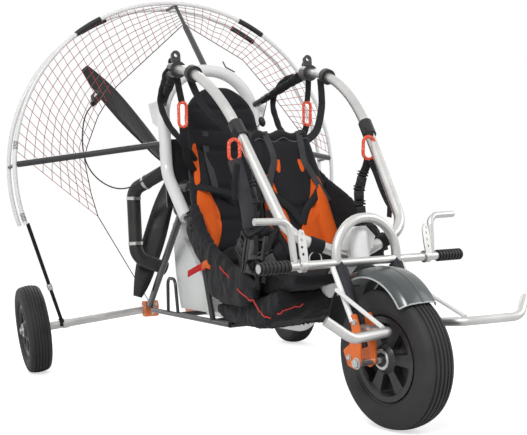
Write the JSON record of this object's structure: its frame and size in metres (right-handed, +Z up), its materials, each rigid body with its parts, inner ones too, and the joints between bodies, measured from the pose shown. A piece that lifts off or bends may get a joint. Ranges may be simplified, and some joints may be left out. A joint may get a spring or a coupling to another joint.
{
  "type": "paramotor trike",
  "caption": "Tandem paramotor trike: foot-steered front fork, two hang arches, two harness seats, caged pusher propeller and sloping rear axles.",
  "frame": {"origin": "middle of the vehicle's footprint box, on the floor", "axes": "+Z up, -Y forwards, +X to the vehicle's left"},
  "size_m": [1.542, 2.4235, 1.662],
  "materials": {
    "white_paint": "white powder coat",
    "bare_tube": "brushed anodised tube",
    "black_metal": "black satin coat",
    "black_plastic": "black moulded plastic",
    "tyre": "ribbed rubber",
    "rubber": "soft black rubber",
    "orange_plate": "orange anodised plate",
    "engine_metal": "cast engine",
    "fuel_tank": "milky polyethylene",
    "propeller": "glossy black composite",
    "seat_fabric": "black woven fabric",
    "webbing": "black webbing",
    "mudguard": "dark grey moulding",
    "steel": "zinc plated steel"
  },
  "bodies": {
    "chassis": {"rear_axle_right": "bare_tube", "rear_axle_left": "bare_tube", "lower_frame": "black_metal", "axle_brackets": "orange_plate", "keel_tube": "white_paint", "steering_head": "white_paint", "arch_right": "bare_tube", "arch_left": "bare_tube", "hang_blocks": "black_metal", "arch_clamps": "black_plastic", "arch_collars": "black_plastic", "loop_frame": "white_paint", "spreader_bars": "black_metal", "frame_struts": "black_metal", "engine_plate": "black_metal", "throttle_cable": "black_plastic", "throttle_handle": "black_plastic", "engine_block": "engine_metal", "engine_cylinder": "engine_metal", "carburettor": "engine_metal", "drive_carrier": "engine_metal", "drive_belt": "rubber", "exhaust_pipe": "black_metal", "exhaust_clamps": "steel", "fuel_tank": "fuel_tank", "cage_ring_front": "white_paint", "cage_ring_rear": "white_paint", "ring_sleeves": "black_plastic", "cage_arms": "black_metal", "rear_seat_back": "seat_fabric", "rear_seat_base": "seat_fabric", "front_seat_back": "seat_fabric", "front_seat_base": "seat_fabric", "seat_bag": "seat_fabric", "seat_wings": "seat_fabric", "harness_straps": "webbing", "riser_links": "orange_plate", "stay_straps": "webbing"},
    "fork": {"fork_crown": "black_metal", "cross_bar": "bare_tube", "foot_hoop": "bare_tube", "front_axle": "steel", "link_plates": "orange_plate", "fork_struts": "rubber", "fork_legs": "white_paint", "foot_bars": "bare_tube", "foot_bar_braces": "bare_tube", "foot_pegs": "rubber", "pedals": "bare_tube", "foot_levers": "bare_tube", "mudguard": "mudguard", "mudguard_flap": "black_plastic"},
    "front_wheel": {"front_tyre": "tyre", "front_rim": "black_plastic"},
    "rear_wheel_left": {"rear_tyre_left": "tyre", "rear_rim_left": "black_plastic"},
    "rear_wheel_right": {"rear_tyre_right": "tyre", "rear_rim_right": "black_plastic"},
    "airscrew": {"propeller": "propeller"}
  },
  "joints": [
    {"name": "steering", "type": "hinge", "parent": "chassis", "child": "fork", "pos_m": [0, -0.837, 0.53], "axis": [0, 0.0523, 0.9986], "range_deg": [-28.5, 11.5]},
    {"name": "front_wheel_spin", "type": "hinge", "parent": "fork", "child": "front_wheel", "pos_m": [0.01634, -0.96379, 0.19994], "axis": [0.989, 0.1476, -0.0077], "continuous": true},
    {"name": "propeller_spin", "type": "hinge", "parent": "chassis", "child": "airscrew", "pos_m": [0, 0.839, 0.9], "axis": [0, -1, 0], "continuous": true},
    {"name": "rear_wheel_left_spin", "type": "hinge", "parent": "chassis", "child": "rear_wheel_left", "pos_m": [0.664, 1.011, 0.19974], "axis": [0.9968, 0, -0.0802], "continuous": true},
    {"name": "rear_wheel_right_spin", "type": "hinge", "parent": "chassis", "child": "rear_wheel_right", "pos_m": [-0.664, 1.011, 0.19974], "axis": [0.9968, 0, 0.0802], "continuous": true}
  ]
}
